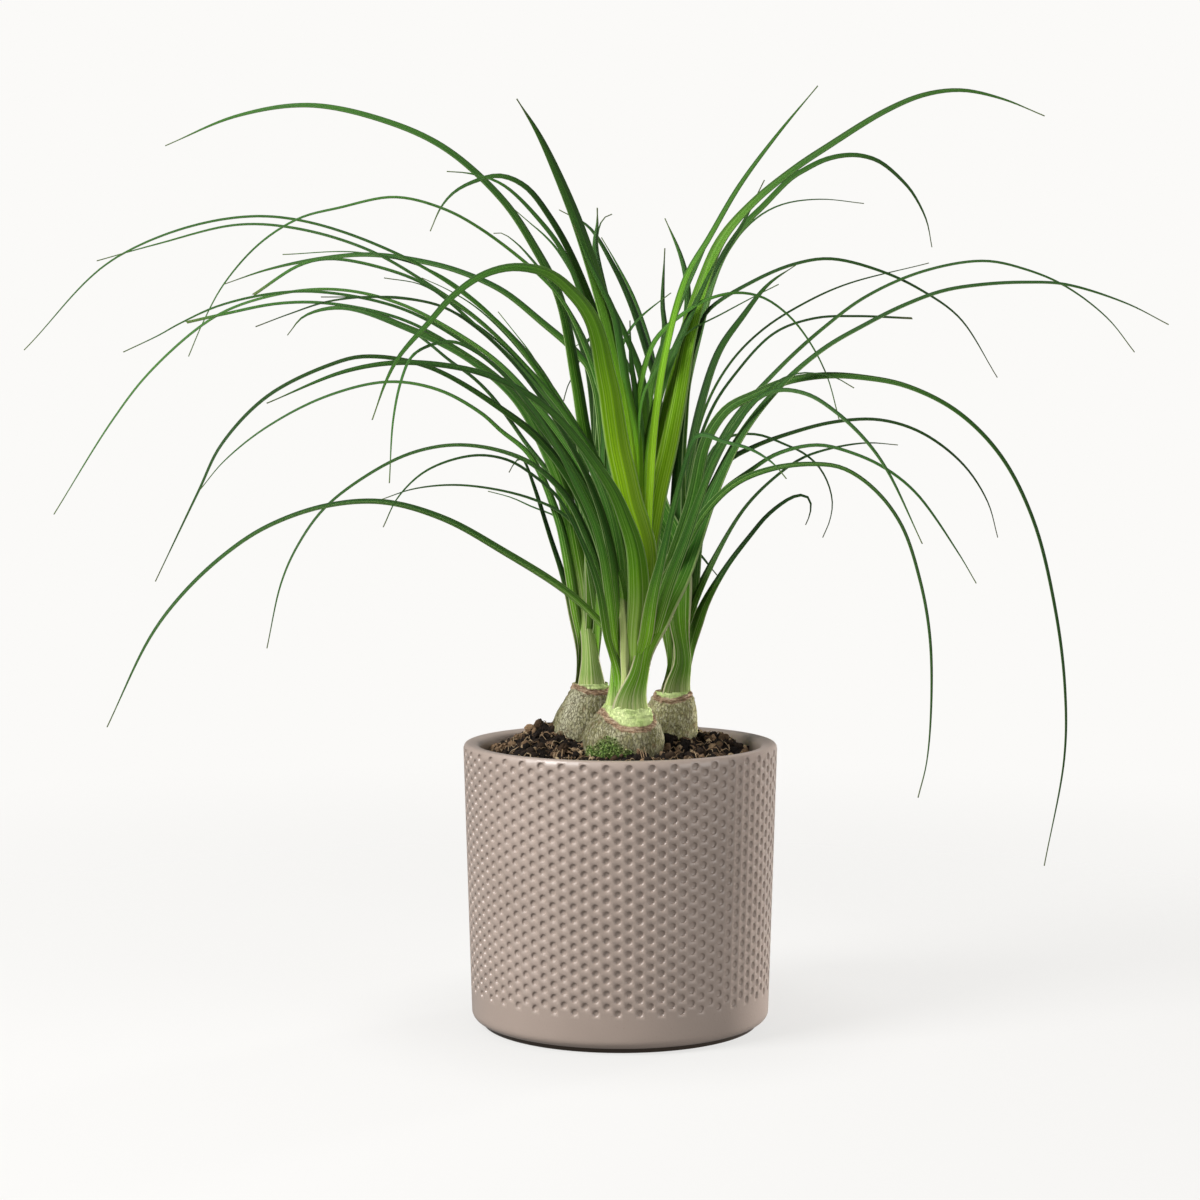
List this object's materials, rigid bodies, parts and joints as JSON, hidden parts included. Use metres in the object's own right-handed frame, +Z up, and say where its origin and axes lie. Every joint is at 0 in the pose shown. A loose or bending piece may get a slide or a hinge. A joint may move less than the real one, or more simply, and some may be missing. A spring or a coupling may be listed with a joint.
{
  "type": "potted ponytail palm",
  "caption": "Potted ponytail palm: young plants with swollen bulbs and arching grassy leaves, in a dimpled taupe stoneware pot.",
  "frame": {"origin": "centre of the pot's foot, on the surface it stands on", "axes": "+Z up along the pot's axis, the front of the pot and its front plant towards -Y, +X to the viewer's right"},
  "size_m": [0.6091, 0.39, 0.4616],
  "materials": {
    "stoneware": "satin",
    "soil": "matte",
    "bulb_skin": "matte",
    "leaf": "satin"
  },
  "bodies": {
    "root": {"pot": "stoneware", "soil": "soil", "bulb_front": "bulb_skin", "bulb_left": "bulb_skin", "bulb_right": "bulb_skin", "leafy_stem_front": "leaf", "leafy_stem_left": "leaf", "leafy_stem_right": "leaf"}
  },
  "joints": []
}
